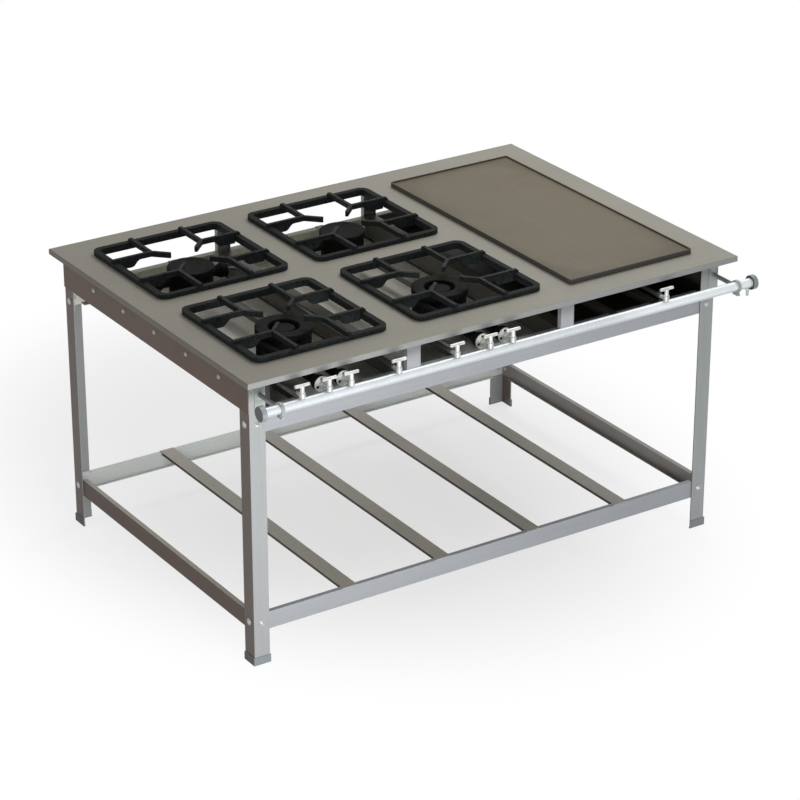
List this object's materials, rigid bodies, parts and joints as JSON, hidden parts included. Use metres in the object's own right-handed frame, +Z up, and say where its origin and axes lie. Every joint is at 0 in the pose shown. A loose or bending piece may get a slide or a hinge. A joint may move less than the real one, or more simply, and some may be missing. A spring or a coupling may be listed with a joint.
{
  "type": "industrial gas stove",
  "caption": "Steel table stove with grated open burners, a griddle tray, a front gas manifold with T-handle taps and a slatted lower shelf.",
  "frame": {"origin": "on the floor under the middle of the stove's whole outline, manifold included", "axes": "+Z up, +Y to the back, +X to the right as the cook stands in front of the gas taps"},
  "size_m": [1.5066, 1.0944, 0.82],
  "materials": {
    "top_steel": "brushed stainless, warm grey",
    "frame_steel": "brushed stainless",
    "inner_steel": "plain stainless sheet",
    "shoe_steel": "dull stainless",
    "griddle_steel": "ground carbon steel, seasoned",
    "cast_iron_grate": "black matt cast iron",
    "cast_iron_burner": "dark sooty cast iron",
    "galvanised_tube": "aluminium paint on steel tube",
    "zinc_fittings": "grey-green zinc",
    "handle_plating": "bright nickel",
    "tap_brass": "nickel-washed brass",
    "shutter_plate": "pale dull plate",
    "fasteners": "zinc-plated"
  },
  "bodies": {
    "frame": {"top_plate": "top_steel", "leg_shoes": "shoe_steel", "shelf_slats": "frame_steel", "burner_rails": "inner_steel", "front_posts": "frame_steel", "back_posts": "frame_steel", "dividers": "inner_steel", "drip_pans": "inner_steel", "side_apron_left": "frame_steel", "side_apron_right": "frame_steel", "side_bearers": "frame_steel", "frame_bolts": "fasteners", "apron_rivets": "fasteners", "griddle_burner": "cast_iron_burner", "manifold_tube": "galvanised_tube", "manifold_caps": "zinc_fittings", "hose_nozzle": "zinc_fittings", "manifold_brackets": "frame_steel", "manifold_clamps": "zinc_fittings", "tap_bodies": "tap_brass", "supply_pipes": "galvanised_tube", "upper_rail_front": "frame_steel", "upper_rail_back": "frame_steel", "leg_front_left": "frame_steel", "leg_front_right": "frame_steel", "leg_back_left": "frame_steel", "leg_back_right": "frame_steel", "shelf_rail_front": "frame_steel", "shelf_rail_back": "frame_steel", "shelf_rail_left": "frame_steel", "shelf_rail_right": "frame_steel", "burner_front_left": "cast_iron_burner", "burner_front_middle": "cast_iron_burner", "burner_back_left": "cast_iron_burner", "burner_back_middle": "cast_iron_burner"},
    "griddle_tray": {"griddle_tray": "griddle_steel"},
    "grate_front_left": {"grate_front_left": "cast_iron_grate"},
    "cap_front_left": {"cap_front_left": "cast_iron_burner"},
    "grate_front_middle": {"grate_front_middle": "cast_iron_grate"},
    "cap_front_middle": {"cap_front_middle": "cast_iron_burner"},
    "grate_back_left": {"grate_back_left": "cast_iron_grate"},
    "cap_back_left": {"cap_back_left": "cast_iron_burner"},
    "grate_back_middle": {"grate_back_middle": "cast_iron_grate"},
    "cap_back_middle": {"cap_back_middle": "cast_iron_burner"},
    "crown_front_left": {"crown_front_left": "cast_iron_burner"},
    "crown_front_middle": {"crown_front_middle": "cast_iron_burner"},
    "tap_handle_1": {"tap_handle_1": "handle_plating"},
    "tap_handle_2": {"tap_handle_2": "handle_plating"},
    "tap_handle_3": {"tap_handle_3": "handle_plating"},
    "tap_handle_4": {"tap_handle_4": "handle_plating"},
    "tap_handle_5": {"tap_handle_5": "handle_plating"},
    "tap_handle_6": {"tap_handle_6": "handle_plating"},
    "tap_handle_7": {"tap_handle_7": "handle_plating"},
    "tap_handle_8": {"tap_handle_8": "handle_plating"},
    "air_shutter_1": {"air_shutter_1": "shutter_plate"},
    "air_shutter_2": {"air_shutter_2": "shutter_plate"},
    "air_shutter_3": {"air_shutter_3": "shutter_plate"},
    "air_shutter_4": {"air_shutter_4": "shutter_plate"}
  },
  "joints": [
    {"name": "grate_front_left_lift", "type": "slide", "parent": "frame", "child": "grate_front_left", "axis": [0, 0, 1], "range_m": [0, 0.1]},
    {"name": "cap_front_left_lift", "type": "slide", "parent": "frame", "child": "cap_front_left", "axis": [0, 0, 1], "range_m": [0, 0.01]},
    {"name": "grate_front_middle_lift", "type": "slide", "parent": "frame", "child": "grate_front_middle", "axis": [0, 0, 1], "range_m": [0, 0.1]},
    {"name": "cap_front_middle_lift", "type": "slide", "parent": "frame", "child": "cap_front_middle", "axis": [0, 0, 1], "range_m": [0, 0.01]},
    {"name": "grate_back_left_lift", "type": "slide", "parent": "frame", "child": "grate_back_left", "axis": [0, 0, 1], "range_m": [0, 0.1]},
    {"name": "cap_back_left_lift", "type": "slide", "parent": "frame", "child": "cap_back_left", "axis": [0, 0, 1], "range_m": [0, 0.01]},
    {"name": "grate_back_middle_lift", "type": "slide", "parent": "frame", "child": "grate_back_middle", "axis": [0, 0, 1], "range_m": [0, 0.1]},
    {"name": "cap_back_middle_lift", "type": "slide", "parent": "frame", "child": "cap_back_middle", "axis": [0, 0, 1], "range_m": [0, 0.01]},
    {"name": "crown_front_left_lift", "type": "slide", "parent": "frame", "child": "crown_front_left", "axis": [0, 0, 1], "range_m": [0, 0.01]},
    {"name": "crown_front_middle_lift", "type": "slide", "parent": "frame", "child": "crown_front_middle", "axis": [0, 0, 1], "range_m": [0, 0.01]},
    {"name": "griddle_tray_lift", "type": "slide", "parent": "frame", "child": "griddle_tray", "axis": [0, 0, 1], "range_m": [0, 0.1]},
    {"name": "tap_handle_1_turn", "type": "hinge", "parent": "frame", "child": "tap_handle_1", "pos_m": [-0.62975, -0.52775, 0.784], "axis": [0, 0, 1], "range_deg": [0, 90]},
    {"name": "tap_handle_2_turn", "type": "hinge", "parent": "frame", "child": "tap_handle_2", "pos_m": [-0.55375, -0.52775, 0.784], "axis": [0, 0, 1], "range_deg": [0, 90]},
    {"name": "tap_handle_3_turn", "type": "hinge", "parent": "frame", "child": "tap_handle_3", "pos_m": [-0.49175, -0.52775, 0.784], "axis": [0, 0, 1], "range_deg": [0, 90]},
    {"name": "tap_handle_4_turn", "type": "hinge", "parent": "frame", "child": "tap_handle_4", "pos_m": [-0.35475, -0.52775, 0.784], "axis": [0, 0, 1], "range_deg": [0, 90]},
    {"name": "tap_handle_5_turn", "type": "hinge", "parent": "frame", "child": "tap_handle_5", "pos_m": [-0.18375, -0.52775, 0.784], "axis": [0, 0, 1], "range_deg": [0, 90]},
    {"name": "tap_handle_6_turn", "type": "hinge", "parent": "frame", "child": "tap_handle_6", "pos_m": [-0.08475, -0.52775, 0.784], "axis": [0, 0, 1], "range_deg": [0, 90]},
    {"name": "tap_handle_7_turn", "type": "hinge", "parent": "frame", "child": "tap_handle_7", "pos_m": [-0.01675, -0.52775, 0.784], "axis": [0, 0, 1], "range_deg": [0, 90]},
    {"name": "tap_handle_8_turn", "type": "hinge", "parent": "frame", "child": "tap_handle_8", "pos_m": [0.46325, -0.52775, 0.784], "axis": [0, 0, 1], "range_deg": [0, 90]},
    {"name": "air_shutter_1_turn", "type": "hinge", "parent": "frame", "child": "air_shutter_1", "pos_m": [-0.55375, -0.49275, 0.756], "axis": [0, 1, 0], "range_deg": [0, 60]},
    {"name": "air_shutter_2_turn", "type": "hinge", "parent": "frame", "child": "air_shutter_2", "pos_m": [-0.49175, -0.49275, 0.756], "axis": [0, 1, 0], "range_deg": [0, 60]},
    {"name": "air_shutter_3_turn", "type": "hinge", "parent": "frame", "child": "air_shutter_3", "pos_m": [-0.08475, -0.49275, 0.756], "axis": [0, 1, 0], "range_deg": [0, 60]},
    {"name": "air_shutter_4_turn", "type": "hinge", "parent": "frame", "child": "air_shutter_4", "pos_m": [-0.01675, -0.49275, 0.756], "axis": [0, 1, 0], "range_deg": [0, 60]}
  ]
}
